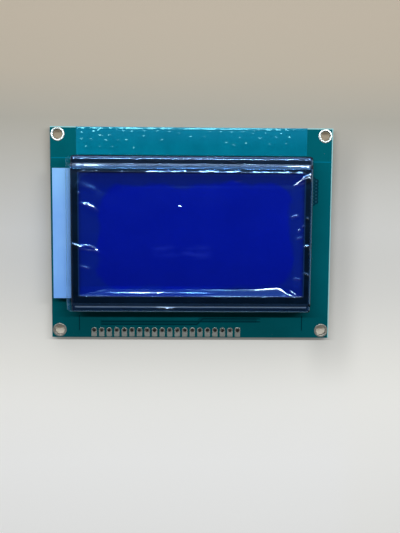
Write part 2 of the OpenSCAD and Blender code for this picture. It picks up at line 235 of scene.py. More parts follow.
def effect(name, inputs, outputs):
    """Empty node group with named sockets: returns it, what it is given and the sockets to fill."""
    group = bpy.data.node_groups.new(name, "ShaderNodeTree")
    for side, sockets in (("INPUT", inputs), ("OUTPUT", outputs)):
        for label, kind in sockets.items():
            group.interface.new_socket(label, in_out=side, socket_type="NodeSocket" + kind)
    entry = group.nodes.new("NodeGroupInput")
    leave = group.nodes.new("NodeGroupOutput")
    return group, {label: Signal(entry.outputs[label]) for label in inputs}, leave.inputs


def cloud_effect():
    """Cloudy change between two colours over patches of a given size."""
    inputs = {"Place": "Vector", "Patch": "Float", "Dark": "Color", "Light": "Color"}
    group, given, out = effect("cloudy_tone", inputs, {"Color": "Color"})
    cloud = clouds(in_mm(given["Place"]), 1.0 / given["Patch"], 4.0)
    feed(out["Color"], blend(between(cloud, 0.3, 0.7), given["Dark"], given["Light"]))
    return group


def grain_effect():
    """Fine unevenness of a surface: its relief, and its roughness between two values."""
    inputs = {"Place": "Vector", "Grain": "Float", "Smooth": "Float", "Rough": "Float"}
    group, given, out = effect("surface_grain", inputs, {"Height": "Float", "Roughness": "Float"})
    place = in_mm(given["Place"])
    rate = 1.0 / given["Grain"]
    feed(out["Height"], clouds(place, rate, 2.0))
    broad = clouds(place, rate * 0.12, 3.0)
    ends = {"to_min": given["Smooth"], "to_max": given["Rough"]}
    feed(out["Roughness"], read(group, "MapRange", value=broad, from_min=0.3, from_max=0.7, **ends))
    return group


def dust_effect():
    """Scattered specks of dust, as a mask."""
    inputs = {"Place": "Vector", "Spacing": "Float", "Size": "Float"}
    group, given, out = effect("dust_specks", inputs, {"Mask": "Float"})
    cells = add(group, "TexVoronoi", vector=in_mm(given["Place"]), scale=1.0 / given["Spacing"]).outputs
    away = Signal(cells["Distance"])
    pick = read(group, "SeparateColor", Signal(cells["Color"]))
    speck = away.math("LESS_THAN", away, given["Size"])
    feed(out["Mask"], speck * pick.math("GREATER_THAN", pick, CLEAN_CELLS))
    return group


def streak_effect():
    """Noise drawn out into streaks, by its own rate along each axis."""
    group, given, out = effect("streaks", {"Place": "Vector", "Rates": "Vector"}, {"Streak": "Float"})
    drawn = read(group, "VectorMath", given["Place"], given["Rates"], operation="MULTIPLY")
    feed(out["Streak"], clouds(drawn, 1.0, 3.0))
    return group


def cling_effect():
    """Where the film is clear of the screen: 0 inside the wavy patch on which it lies, 1 outside."""
    group, given, out = effect("film_cling", {"Place": "Vector"}, {"Free": "Float"})
    x, y, _ = split(in_mm(given["Place"]))
    past = []
    for along, centre, half in zip((x, x * PATCH_TILT + y), PATCH_CENTRE, PATCH_HALF):
        past.append(larger(abs(along - centre) - (half - PATCH_CORNER), 0.0))
    away = clouds(given["Place"], 110.0, 2.0) * PATCH_WAVE + length(*past)
    feed(out["Free"], between(away, PATCH_CORNER + 1.6, PATCH_CORNER + 3.4))
    return group


# Share of the dust's cells that stay clean
CLEAN_CELLS = 0.55
# Patch of the screen on which the film lies: its centre, half its sides, its corners, its tilt and its waves
PATCH_CENTRE = (1.3, -0.5)
PATCH_HALF = (31.0, 16.8)
PATCH_CORNER = 7.0
PATCH_TILT = -0.02
PATCH_WAVE = 5.0
CLOUD = cloud_effect()
GRAIN = grain_effect()
DUST = dust_effect()
STREAKS = streak_effect()
CLING = cling_effect()


def put(place, group, **values):
    """Lays an effect over a place and returns what it puts out, by name."""
    made = add(place.tree, "Group", place, node_tree=group)
    for name, value in values.items():
        feed(made.inputs[name.title()], value)
    return {socket.name: Signal(socket) for socket in made.outputs}


# Finishes


class Finish:
    """Material whose colour clouds between two tones, with a fine grain in its roughness and relief."""

    def __init__(self, name, dark, light, patch, grain, rough, relief):
        self.material = bpy.data.materials.new(name)
        self.material.use_nodes = True
        self.tree = self.material.node_tree
        self.shader = self.tree.nodes["Principled BSDF"]
        self.place = read(self.tree, "TexCoord", output="Object")
        self.x, self.y, self.z = split(in_mm(self.place))
        self.color = put(self.place, CLOUD, patch=patch, dark=dark, light=light)["Color"]
        fine = put(self.place, GRAIN, grain=grain, smooth=rough[0], rough=rough[1])
        self.rough = fine["Roughness"]
        bump = read(self.tree, "Bump", height=fine["Height"], strength=0.6, distance=relief * MM)
        self.set("Normal", bump)
        self.set("Base Color", self.color)
        self.set("Roughness", self.rough)

    def set(self, socket, value):
        feed(self.shader.inputs[socket], value)


# Weak sheen of the solder mask, and its teal tint
MASK_SHINE, MASK_SHEEN = 0.22, (0.3, 0.9, 1.0)
# Traces above the header row: where they start, step up and end, and the span of their two lanes
LANE_START, LANE_STEP, LANE_END = -30, 2.0, 22
LANE_Y = (-30.7, -29.4)


def mask_finish(*settings):
    made = Finish(*settings)
    made.set("Specular IOR Level", MASK_SHINE)
    made.set("Specular Tint", MASK_SHEEN)
    return made


def solder_mask():
    """Teal mask on both faces of the board, bare laminate on its edges, and painted shade, light and
    highlights.
    """
    tones = (0.0004, 0.09, 0.113), (0.0007, 0.115, 0.145)
    made = mask_finish("solder_mask", *tones, 9, 0.25, (0.05, 0.09), 0.006)
    x, y = made.x, made.y
    # Painted shade: the mask darkens toward the board's bottom edge.
    lower_shade = between(y, 0, -34, 0.0, 0.6) * between(x, -46, -37, 0.6, 1.0)
    tone = blend(lower_shade, made.color, (0.0004, 0.058, 0.066))
    # Painted light: the mask is lighter toward the board's right side.
    pale = between(x, 20, 45, 0.0, 0.45) * between(y, 0, 30, 1.3, 1.6) * between(y, -34, -14, 0.2, 1.0)
    tone = blend(pale, tone, (0.0006, 0.122, 0.158))
    # The mask darkens along the traces' two lanes: partly the several traces that run there, partly painted
    # shade.
    stepped = y - between(x, LANE_STEP, LANE_STEP + 1)
    lanes = band(x, LANE_START, LANE_END, 0.5) * band(stepped, *LANE_Y, 0.35)
    tone = blend(lanes * 0.55, tone, (0.0002, 0.03, 0.042))
    specks = put(made.place, DUST, spacing=3.2, size=0.035)["Mask"]
    tone = blend(specks * 0.25, tone, (0.4, 0.5, 0.5))
    # Painted highlight along the board's right and top edges.
    right_edge_highlight = between(x, BOARD_HIGH.x - 0.35, BOARD_HIGH.x - 0.2)
    top_edge_highlight = between(y, BOARD_HIGH.y - 0.4, BOARD_HIGH.y - 0.25)
    tone = blend(larger(right_edge_highlight, top_edge_highlight) * 0.75, tone, (0.45, 0.86, 0.88))
    fibre, resin = (0.16, 0.15, 0.05), (0.34, 0.3, 0.12)
    laminate = put(made.place, CLOUD, patch=0.5, dark=fibre, light=resin)["Color"]
    edge = band(made.z, BOARD_BACK + 0.06, BOARD_FACE - 0.06, 0.04)
    made.set("Base Color", blend(edge, tone, laminate))
    made.set("Roughness", larger(made.rough, edge * 0.7))
    return made


def mask_over_copper():
    """The same mask over copper, which makes it brighter, with painted light toward the board's top edge and
    painted shade in the lanes below the display.
    """
    tones = (0.0006, 0.165, 0.258), (0.001, 0.2, 0.308)
    made = mask_finish("mask_over_copper", *tones, 7, 0.3, (0.05, 0.09), 0.004)
    lit = blend(between(made.y, 28, 34.5, 0.0, 0.5), made.color, (0.008, 0.225, 0.385))
    # Painted shade: the mask over copper is darker below the display.
    made.set("Base Color", blend(between(made.y, -15, -25), lit, (0.0002, 0.024, 0.036)))
    return made


def via_mask():
    """Mask over the vias' rings right of the display: dark round them, which is painted shade, and pale on
    their domes.
    """
    # Painted shade: the dark tones of the mask round the vias.
    tones = (0.0004, 0.032, 0.058), (0.0007, 0.042, 0.072)
    made = mask_finish("via_mask", *tones, 2, 0.3, (0.1, 0.2), 0.006)
    dome = read(made.tree, "Attribute", attribute_name="dome", output="Fac")
    made.set("Base Color", blend(dome, made.color, (0.022, 0.12, 0.175)))
    return made


def tinned_copper():
    """Hot-tinned copper, uneven and a little dull, darker round the header holes, with painted shade on the
    holes' walls.
    """
    made = Finish("tinned_copper", (0.5, 0.51, 0.47), (0.74, 0.75, 0.7), 0.8, 0.5, (0.3, 0.42), 0.03)
    x, y = made.x, made.y
    low = between(y, -29, -30)
    header = band(x, -38, 38, 1.0) * low
    tone = blend(between(y, 29, 30, 0.0, 0.6), made.color, (0.42, 0.5, 0.51))
    tone = blend(header * 0.7, tone, (0.25, 0.285, 0.26))
    tone = blend((low - header) * 0.7, tone, (0.2, 0.185, 0.155))
    wrapped = x.math("WRAP", x, FIRST_PIN + PIN_PITCH / 2, FIRST_PIN - PIN_PITCH / 2)
    from_pin = length(wrapped - FIRST_PIN, y - PIN_Y)
    # Darker round each header hole.
    darker_round_holes = header * between(from_pin, PIN_BORE, PIN_HALF + 0.05, 0.8, 0.0)
    tone = blend(darker_round_holes, tone, (0.055, 0.05, 0.046))
    # Painted shade: the walls of the header holes are darkened.
    down = header * band(made.z, BOARD_BACK + 0.1, BOARD_FACE - 0.1, 0.1)
    made.set("Base Color", blend(down, tone, (0.012, 0.014, 0.013)))
    made.set("Metallic", low * -0.5 + 1.0)
    return made


def bright_solder():
    made = Finish("bright_solder", (0.6, 0.62, 0.62), (0.8, 0.82, 0.82), 0.6, 0.4, (0.15, 0.3), 0.03)
    made.set("Metallic", 1.0)
    return made


def bezel_paint():
    """Black coat on sheet steel, with a faint orange peel, a little dust and painted highlights at the
    window's edges.
    """
    tones = (0.0006, 0.0045, 0.012), (0.0012, 0.0075, 0.02)
    made = Finish("bezel_paint", *tones, 6, 0.3, (0.14, 0.18), 0.004)
    made.set("Specular IOR Level", 0.12)
    specks = put(made.place, DUST, spacing=2.4, size=0.04)["Mask"]
    tone = blend(specks * 0.12, made.color, (0.3, 0.36, 0.42))
    past_x = abs(made.x) - WINDOW_X
    past_y = abs(made.y - DISPLAY_Y) - WINDOW_Y
    # Painted highlight round the window's edges.
    window_edge_highlight = between(larger(past_x, past_y), 0.1, 0.4, 0.8, 0.0)
    tone = blend(window_edge_highlight, tone, (0.022, 0.03, 0.07))
    # Painted blue highlight along the window's left and right edges.
    side = band(past_x, -0.3, 0.16, 0.4) * between(past_y, 0.1, -0.3)
    made.set("Base Color", blend(side, tone, (0.008, 0.034, 0.15)))
    return made


def screen_blue():
    """Deep blue polarizer, brighter where the film clings to it and duller under the free spans, which is
    painted shade and painted reflection.
    """
    tones = (0.0004, 0.0088, 0.432), (0.0007, 0.0104, 0.485)
    made = Finish("screen_blue", *tones, 26, 0.6, (0.06, 0.1), 0.002)
    x, y = made.x, made.y
    # Painted shade and painted reflection: the screen's tone under the film's free spans.
    dull = blend(between(y, 13.0, 19.0), (0.0016, 0.0145, 0.32), (0.004, 0.0155, 0.235))
    bright = blend(between(y, 2.0, -18.0, 0.0, 0.6), made.color, (0.0005, 0.0074, 0.34))
    smear = put(made.place, STREAKS, rates=(90, 380, 90))["Streak"]
    wiped = band(x, -9, 3, 5.0) * band(y, -6.2, -4.6, 2.2) * between(smear, 0.38, 0.68, 0.0, 0.75)
    smudged = blend(wiped, bright, (0.012, 0.032, 0.55))
    made.set("Base Color", blend(put(made.place, CLING)["Free"], smudged, dull))
    return made


def wrap_film():
    """Light blue film with a satin face, faint lengthwise streaks and painted light toward its top."""
    made = Finish("wrap_film", (0.17, 0.42, 0.95), (0.22, 0.5, 1.0), 14, 0.4, (0.38, 0.5), 0.01)
    streak = put(made.place, STREAKS, rates=(900, 60, 900))["Streak"]
    tone = blend(between(streak, 0.45, 0.8, 0.0, 0.35), made.color, (0.15, 0.37, 0.9))
    # Painted light: lighter toward the top, nearer the lamps.
    made.set("Base Color", blend(between(made.y, 4, 20, 0.0, 0.5), tone, (0.215, 0.56, 1.0)))
    return made


# Share of light that the film mirrors face on, and what the most grazing angle adds
FILM_MIRROR, FILM_GRAZING = 0.12, 0.85
# Places in y: the fold over the bezel's lower step, and where the film's haze and painted reflection change
# on its way out
FOLD_Y = DISPLAY_Y - FRONT_DROP - LEDGE_Y
FOOT_BEND_Y = (-23.2, -23.6)
TOP_LEDGE_Y = (23.0, 23.4)
TOP_BEND_Y = (24.25, 24.45)


def film_haze(made, span):
    """Roughness that the film gains where it is loose: on the upper lip, in the top span and at its foot."""
    x, y = made.x, made.y
    lip = band(y, UPPER_Y + 0.3, DISPLAY_Y + LIP_TOP - 0.2, 0.4)
    lip = lip * between(x, -26, 0, 0.3, 0.75) * between(x, 34, 8, 0.1, 1.0)
    loose = between(y, -20, 24, 0.06, 0.026) + between(y, *FOOT_BEND_Y, 0.0, 0.1)
    free = put(made.place, CLING)["Free"] * loose * (1.0 - span)
    top_span = band(y, 15.5, UPPER_Y - 0.3, 0.6)
    return top_span * 0.03 + lip * 0.02 + free


def film_cut(made):
    """Mask along the cut edges at the film's sides and foot."""
    sides = smaller(made.x - FILM_LOW.x, FILM_HIGH.x - made.x)
    return between(smaller(sides, made.y - FILM_LOW.y), 0.1, 0.3, 1.0, 0.0)


def span_change(made, span):
    """How much more or less the lower span mirrors, as painted reflection: less in its left body, more on its
    rim and foot.
    """
    x, y = made.x, made.y
    ridge = band(y, LOWER_Y + 1.0, LOWER_Y + 1.5, 0.3)
    body = (1.0 - ridge) * band(x, -25, 7, 5)
    inside = span * (body * -0.38 + between(x, -5, 15, -0.45, 0.1))
    rim = band(y, LOWER_Y + 2.0, LOWER_Y + 2.4, 0.2)
    foot = band(y, LOWER_Y - 0.1, LOWER_Y + 0.2, 0.2)
    return larger(rim, foot) * band(x, 8, 24, 5) * 1.4 + inside


def film_mirror(made, fold_sheen, span):
    """Share of light that the film mirrors, which grows to grazing angles, and is raised in some bands and
    lowered in others as painted reflection.
    """
    x, y = made.x, made.y
    facing = read(made.tree, "LayerWeight", blend=0.5, output="Facing")
    mirror = facing**5.0 * FILM_GRAZING + FILM_MIRROR
    # Painted reflection: more mirror on the lower ledge, the lower step's bend and the top ledge, less at the
    # upper left corner and on the top bend.
    low_ledge = between(y, FOLD_Y, FOLD_Y - 0.4) * band(x, -38, 38, 0.4)
    mirror = mirror + fold_sheen * 0.36 + low_ledge * 0.07 + between(y, *TOP_LEDGE_Y, 0.0, 0.03)
    corner = between(x, -37.7, -38.3, 0.0, -0.7) * between(y, 21.0, 21.6)
    bend = between(y, *TOP_BEND_Y, 0.0, -0.15)
    return mirror * (bend + span_change(made, span) + corner + 1.0)


def clear_film():
    """Clear film: what it mirrors is its alpha, and the rest shows through."""
    made = Finish("clear_film", (0.12, 0.37, 0.92), (0.16, 0.43, 1.0), 9, 1.2, (0.09, 0.12), 0.003)
    made.set("Metallic", 1.0)
    # Painted highlight along the cut edges: a lighter tint, a stronger mirror and more roughness.
    cut = film_cut(made)
    span = band(made.y, LOWER_Y + 0.2, LOWER_Y + 3.0, 0.4)
    # Painted sheen along the film's bend over the bezel's lower step: a whiter tint, a stronger mirror and
    # more roughness.
    fold_sheen = band(made.y, FOLD_Y - 0.22, FOLD_Y + 0.06, 0.2) * band(made.x, -37.6, 37.4, 0.4)
    made.set("Roughness", made.rough + larger(cut, fold_sheen) * 0.3 + film_haze(made, span))
    # Painted highlight: whiter tint on the film's folds and glint lines.
    glint_white = read(made.tree, "Attribute", attribute_name="glint_white", output="Fac")
    tone = blend(glint_white, made.color, (0.5, 0.66, 0.9))
    tone = blend(fold_sheen, tone, (0.45, 0.62, 0.85))
    made.set("Base Color", blend(cut, tone, (0.2, 0.5, 0.75)))
    made.set("Alpha", cut * 0.07 + film_mirror(made, fold_sheen, span))
    return made


def simple_finishes():
    """Finishes of the pieces that hardly show: name, two tones, patch, grain, roughness and relief."""
    table = [
        ("glass", (0.62, 0.74, 0.74), (0.72, 0.84, 0.84), 20, 2, (0.02, 0.05), 0.001),
        ("white_film", (0.78, 0.79, 0.79), (0.88, 0.89, 0.89), 6, 0.3, (0.6, 0.75), 0.01),
        ("acrylic", (0.78, 0.86, 0.9), (0.86, 0.92, 0.95), 9, 0.6, (0.1, 0.2), 0.004),
        ("lamp_board", (0.7, 0.72, 0.66), (0.8, 0.82, 0.77), 3, 0.3, (0.45, 0.6), 0.01),
        ("lamp", (0.75, 0.58, 0.1), (0.9, 0.76, 0.26), 1.2, 0.3, (0.2, 0.3), 0.01),
        ("contact_rubber", (0.45, 0.33, 0.41), (0.62, 0.48, 0.57), 1, 0.15, (0.6, 0.75), 0.02),
        ("black_resin", (0.006, 0.0065, 0.0075), (0.013, 0.0135, 0.015), 3, 0.9, (0.28, 0.5), 0.05),
        ("resistor", (0.01, 0.011, 0.013), (0.017, 0.018, 0.02), 0.7, 0.15, (0.2, 0.35), 0.01),
        ("capacitor", (0.36, 0.22, 0.1), (0.48, 0.31, 0.16), 0.8, 0.2, (0.4, 0.55), 0.015),
    ]
    made = {row[0]: Finish(*row) for row in table}
    made["glass"].set("Transmission Weight", 1.0)
    made["acrylic"].set("Transmission Weight", 0.7)
    return made


# Studio

PHOTO_TALL = 533
SENSOR = 36
FOCAL_PIXELS = 800
# Turn of the board in the picture about X, Y and Z, in radians, and the place of its face's centre
VIEW_TURN = (0.1113, 0.0218, -0.0050)
VIEW_PLACE = (-2.8722, 10.8514, -266.18)
FLOOR_HALF = 3000
# Tones of the floor's paper, from the near end of its gradient to the far end
PAPER_HALF = 100
PAPER_TONES = (
    (0.1, (0.75, 0.75, 0.745)), (0.28, (0.7, 0.69, 0.65)), (0.5, (0.64, 0.64, 0.62)),
    (0.69, (0.435, 0.415, 0.36)), (0.77, (0.5, 0.445, 0.36)), (0.85, (0.515, 0.45, 0.36)),
)
BLACK = (0.0, 0.0, 0.0)
# Tones round the studio, from the horizon up
SKY_TONES = (
    (0.0, (0.72, 0.72, 0.71)), (0.45, (0.5, 0.5, 0.5)),
    (0.75, (0.14, 0.14, 0.145)), (0.9, (0.02, 0.021, 0.024)),
)
# The strip lamp's place, and about where the eye is
STRIP_X, STRIP_Y, STRIP_Z = 20, 100, 310
EYE_Y, EYE_Z = 18.8, 269


def stand(name, data):
    """Puts a mesh, lamp or camera into the scene as an object."""
    made = bpy.data.objects.new(name, data)
    bpy.context.scene.collection.objects.link(made)
    return made


def stand_mesh(name, bm, finish):
    mesh = bpy.data.meshes.new(name)
    bm.to_mesh(mesh)
    bm.free()
    mesh.materials.append(finish.material)
    return stand(name, mesh)


def place_camera():
    lens = bpy.data.cameras.new("camera")
    lens.sensor_width = SENSOR
    lens.lens = FOCAL_PIXELS * SENSOR / PHOTO_TALL
    lens.clip_start = 10 * MM
    camera = stand("camera", lens)
    about_x, about_y, about_z = VIEW_TURN
    turn = (
        Matrix.Rotation(about_z, 4, "Z")
        @ Matrix.Rotation(about_y, 4, "Y")
        @ Matrix.Rotation(about_x, 4, "X")
    )
    seen = Matrix.Translation(Vector(VIEW_PLACE) * MM) @ turn
    camera.matrix_world = Matrix.Translation((0, 0, BOARD_FACE * MM)) @ seen.inverted()
    bpy.context.scene.camera = camera


def softbox(name, place, aim, size, radiance, color):
    """Rectangular lamp of a given radiance at place, turned to aim."""
    lamp = bpy.data.lights.new(name, "AREA")
    lamp.shape = "RECTANGLE"
    lamp.size, lamp.size_y = (side * MM for side in size)
    lamp.energy = radiance * math.pi * lamp.size * lamp.size_y
    lamp.color = color
    holder = stand(name, lamp)
    holder.location = Vector(place) * MM
    holder.rotation_euler = (Vector(aim) - Vector(place)).to_track_quat("-Z", "Y").to_euler()
    holder.visible_camera = False


def light_studio():
    """A bright strip high behind the display's top, two broad boxes beyond it, and a pale horizon."""
    softbox("key_strip", (STRIP_X, STRIP_Y, STRIP_Z), (STRIP_X, 0, 8), (520, 9), 66.0, (0.96, 0.98, 1.0))
    softbox("upper_box", (0, 320, 400), (0, 0, 8), (700, 230), 0.33, (0.95, 0.97, 1.0))
    softbox("window_box", (0, 480, 215), (0, 0, 12), (760, 230), 1.25, (1.0, 0.98, 0.96))
    world = bpy.data.worlds.new("studio")
    bpy.context.scene.world = world
    world.use_nodes = True
    background = world.node_tree.nodes["Background"].inputs
    _, back, up = split(read(world.node_tree, "TexCoord", output="Generated"))
    feed(background["Color"], ramp(up, SKY_TONES))
    feed(background["Strength"], between(back, -0.9, 0.1, 0.25, 1.0))


def floor_paper():
    """Pale paper with a soft gradient, a painted shadow right of the board, painted light further right and
    warm painted light where the corner holes show it.
    """
    made = Finish("floor_paper", (0.56, 0.55, 0.53), (0.6, 0.59, 0.57), 60, 0.5, (0.85, 0.95), 0.01)
    made.set("Specular IOR Level", 0.1)
    x, y = made.x, made.y
    along = read(made.tree, "MapRange", value=y, from_min=-PAPER_HALF, from_max=PAPER_HALF)
    # Painted shadow of the board on the paper right of it.
    near = band(x, 46, 51, 9) * band(y, -36, 20, 20)
    tone = blend(near * 0.3, ramp(along, PAPER_TONES), (0.26, 0.26, 0.25))
    # Painted light on the paper further right of the board.
    right = between(x, 48, 62, 0.0, 0.4) * between(y, 36, 0)
    tone = blend(right, tone, (0.74, 0.73, 0.69))
    # Painted light: the paper that the corner holes show is warm, darker under the top holes and paler under
    # the bottom ones, and glows a little.
    from_hole = length(abs(x) - (HOLE_X + 0.42), abs(y) - (HOLE_Y + 0.28))
    behind = between(from_hole, 1.75, 1.95, 1.0, 0.0)
    lower = between(y, 10, -10)
    warm = blend(lower, (0.5, 0.425, 0.315), (0.8, 0.75, 0.65))
    made.set("Base Color", blend(behind, tone, warm))
    # Seen directly, in a mirror or through glass, the paper has a faint painted glow that grows toward its
    # lower part, none under the board, and a warm one where the corner holes show it
    path = add(made.tree, "LightPath").outputs
    seen = Signal(path["Is Camera Ray"]) + Signal(path["Is Glossy Ray"]) + Signal(path["Is Transmission Ray"])
    painted_glow = blend(between(y, -5, -62), BLACK, (0.21, 0.21, 0.2))
    under = band(x, -45.5, 45.5, 0.5) * band(y, -34, 34, 0.5)
    painted_glow = blend(under, painted_glow, BLACK)
    painted_glow = blend(behind, painted_glow, blend(lower, (0.02, 0.014, 0.008), (0.07, 0.06, 0.045)))
    made.set("Emission Color", blend(seen, BLACK, painted_glow))
    made.set("Emission Strength", 1.0)
    return made


def lay_floor():
    bm = bmesh.new()
    bmesh.ops.create_grid(bm, x_segments=8, y_segments=8, size=FLOOR_HALF * MM)
    floor = stand_mesh("floor", bm, floor_paper())


# Pieces


def dress(finish, *names):
    """Puts a finish on CAD nodes."""
    for name in names:
        for slot in nodes[name].material_slots:
            slot.material = finish.material


def piece(name, bm, finish, slot, *replaced):
    """Makes a mesh in millimetres a piece of the module, in place of the CAD nodes that it replaces."""
    bmesh.ops.scale(bm, vec=(MM, MM, MM), verts=bm.verts)
    for face in bm.faces:
        face.smooth = True
    made = stand_mesh(name, bm, finish)
    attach(made, "root")
    if replaced:
        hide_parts(*replaced)
    return made


# Sides of a mesh to which a sheet's thickness goes
BELOW, BOTH = -1, 0


def thicken(made, thickness, offset):
    solid = made.modifiers.new("sheet", "SOLIDIFY")
    solid.thickness = thickness * MM
    solid.offset = offset


# The clear film

# Where the stretches of the film's mesh end in x and in y, and how many cells each one has
FILM_X = (FILM_LOW.x, FILM_LOW.x + 10.5, FILM_HIGH.x - 10.5, FILM_HIGH.x)
FILM_X_CELLS = (42, 141, 42)
FILM_Y = (FILM_LOW.y, LOWER_Y - 0.4, LOWER_Y + 3.0, 16.0, FILM_HIGH.y)
FILM_Y_CELLS = (23, 34, 106, 49)
FILM_SHEET = 0.04
FILM_CORNER = 1.0
CORNER_ANGLES = (15, 30, 45, 60, 75)
# Side to which the straight cut at the lower left corner faces
CUT_OUTWARD = Vector((-0.5, -1, 0))
# Share of a small hump's slope that the mesh keeps
CELL_KEEPS = 0.9
# Height of the sheet's middle over what it lies on
FILM_GAP = 0.06
# A crease's or blister's share tells how far its flank leans to the strip lamp: at 1 it mirrors the lamp
Crease = namedtuple("Crease", "start end bow width share")
Blister = namedtuple("Blister", "place radius share")

CREASES = [Crease(*row) for row in (
    # Left of the screen
    ((-36.4, 17.6), (-30.2, 14.9), 0.1, 1.3, 0.5),
    ((-35.6, 10.6), (-33.0, 9.6), 0.05, 0.6, 1.0),
    ((-34.3, 10.2), (-30.6, 8.9), 0.15, 0.75, 1.0),
    ((-33.0, 9.3), (-29.2, 7.8), 0.0, 0.7, 0.86),
    ((-38.9, -2.3), (-35.0, -3.9), 0.0, 0.6, 1.1),
    ((-36.4, -3.5), (-30.2, -4.7), 0.75, 0.45, 1.2),
    ((-36.4, -3.9), (-30.0, -4.9), -0.25, 0.45, 1.2),
    ((-31.4, -4.7), (-29.0, -5.9), 0.0, 0.5, 0.86),
    ((-36.3, -9.6), (-32.2, -10.8), 0.0, 0.7, 0.82),
    # Right of the screen and on the right rail
    ((32.6, 16.1), (38.4, 20.2), 0.15, 0.5, 1.7),
    ((33.4, 16.5), (37.0, 18.2), -0.4, 0.4, 1.6),
    ((35.3, 18.8), (38.8, 18.4), 0.0, 0.7, 1.15),
    ((36.6, 19.0), (39.0, 18.9), 0.0, 0.6, 1.1),
    ((31.6, 6.0), (34.6, 6.9), 0.1, 0.6, 0.97),
    ((33.6, -0.5), (36.0, -0.3), 0.0, 0.6, 0.8),
    ((36.0, -3.1), (38.8, -2.8), 0.0, 0.5, 1.0),
    ((36.6, -3.2), (38.8, -4.4), 0.0, 0.45, 1.0),
    ((36.2, -11.7), (38.7, -12.7), 0.0, 0.6, 0.88),
    ((33.0, -13.5), (36.0, -14.0), 0.0, 0.6, 0.85),
    # Specks at the left of the window's top edge
    ((-35.2, 20.4), (-34.6, 20.4), 0.0, 0.3, 1.0),
    ((-31.9, 20.35), (-31.4, 20.35), 0.0, 0.3, 1.0),
    ((-23.6, 20.3), (-23.0, 20.3), 0.0, 0.3, 1.0),
    ((-21.9, 20.3), (-21.4, 20.3), 0.0, 0.3, 0.95),
    # Beyond the lower span's right end
    ((32.2, -17.8), (34.7, -20.0), 0.25, 0.4, 1.18),
    # Small ones on the top span and the two ledges
    ((13.2, 17.8), (16.0, 18.1), 0.0, 0.45, 1.3),
    ((-28.7, 24.15), (-28.2, 24.1), 0.0, 0.2, 0.87),
    ((-24.5, 24.2), (-23.9, 24.2), 0.0, 0.2, 0.87),
    ((-22.1, 24.2), (-21.5, 24.2), 0.0, 0.2, 0.87),
    ((-18.4, 24.0), (-17.8, 24.1), 0.1, 0.25, 0.87),
    ((-17.1, 24.1), (-16.6, 24.1), 0.0, 0.2, 0.87),
    ((-15.0, 24.1), (-14.5, 24.0), 0.1, 0.2, 0.87),
    ((-13.1, 24.1), (-12.4, 24.0), 0.2, 0.25, 1.05),
    ((-11.8, 23.8), (-10.9, 23.9), -0.2, 0.25, 1.05),
    ((-5.3, 24.1), (-4.8, 24.0), 0.0, 0.2, 1.0),
    ((11.4, 24.0), (12.3, 23.9), 0.15, 0.25, 1.0),
    ((12.4, 23.7), (14.1, 23.5), 0.1, 0.25, 1.0),
    ((-11.6, -23.4), (-7.4, -23.6), 0.1, 0.4, 0.95),
    ((-8.8, -23.7), (-5.0, -23.4), -0.1, 0.4, 0.95),
)]
BLISTERS = [Blister(*row) for row in (
    ((-3.8, 9.5), 0.65, 1.4),
    ((-36.2, 13.7), 0.5, 1.15),
    ((36.0, 3.4), 0.45, 1.0),
    ((34.8, 2.1), 0.5, 1.3),
    ((37.3, 5.9), 0.5, 1.15),
    ((38.0, -5.6), 0.4, 1.0),
    ((-34.3, 20.7), 0.32, 0.95),
    ((-30.5, 20.6), 0.36, 1.05),
    ((-22.4, 20.5), 0.36, 1.05),
    ((-20.4, 20.5), 0.32, 0.95),
)]
# Steepest slope of a hump that is 1 high and 1 wide, and where it lies
HUMP_SLOPE = math.sqrt(2 / math.e)
STEEPEST = math.sqrt(0.5)
# Width of the ridge along the window's top edge
EDGE_RIDGE = 0.5
# Where the film stands off the top step: its lean along the step and at the step's ends, where the lean
# starts and stops beyond the brow, the slope of the foot and the reach of its bends
TENT_LEAN, TENT_END_LEAN = 1.05, 0.8
TENT_START, TENT_STOP = 0.45, 1.1
TENT_STEEP = 3.0
TENT_BEND = 0.1
# Power that blends the rises from the window's four edges
RISE_BLEND = 2.4
# Width of the bend from the lower span to the lip
LOWER_BEND = 0.06
# How far the film's fold stays off the foot of the bezel's step
FOOT_GAP = 0.05
# How the film's free left edge hangs: where it starts past the bezel's wall, and how fast it falls
HANG_START, HANG_FALL = 0.4, 0.25


def hump(x, centre, width):
    return math.exp(-(((x - centre) / width) ** 2))


def ripple(x, rate, row):
    """Smooth noise along x from -1 to 1, with its own run for each row."""
    return noise.noise((x * rate, row * 7.3, 0.5))


def smooth(value, low, high):
    share = min(max((value - low) / (high - low), 0), 1)
    return share * share * (3 - 2 * share)


def bent_floor(t, reach):
    """The larger of t and 0, rounded within reach of the corner."""
    if abs(t) >= reach:
        return max(t, 0)
    return (t + reach) ** 2 / (4 * reach)


def bend_drop(past):
    """How far a round bend has fallen at a distance past its start."""
    past = min(max(past, 0), BEND_R * 0.9)
    return BEND_R - math.sqrt(BEND_R**2 - past**2)


def tent_share(x):
    """How far the film stands off the top step, which ends before the film does."""
    return smooth(x, -38.1, -37.1) * smooth(x, 38.7, 37.9)


def tent_ends(x):
    """How near a place is to the step's ends, where the film mirrors the strip lamp in full."""
    return smooth(x, -25, -31) + smooth(x, 28, 33)


def tent_level(x, v):
    """Level of the film over the top step: down its brow, off it in a gentle fall, and a steep foot."""
    out = v + FRONT_DROP - WINDOW_Y - LIP_W
    ends = tent_ends(x)
    lean = TENT_LEAN + (TENT_END_LEAN - TENT_LEAN) * ends + 0.08 * ripple(x, 0.5, 21)
    off = bent_floor(out - TENT_START, TENT_BEND)
    gentle = (lean * glint_slope(DISPLAY_Y + v) - STEP_SLOPE) * off
    brow = bent_floor(out + FOOT_GAP, TENT_BEND) * STEP_SLOPE
    return LIP_Z - brow - gentle - TENT_STEEP * bent_floor(out - TENT_STOP, TENT_BEND)


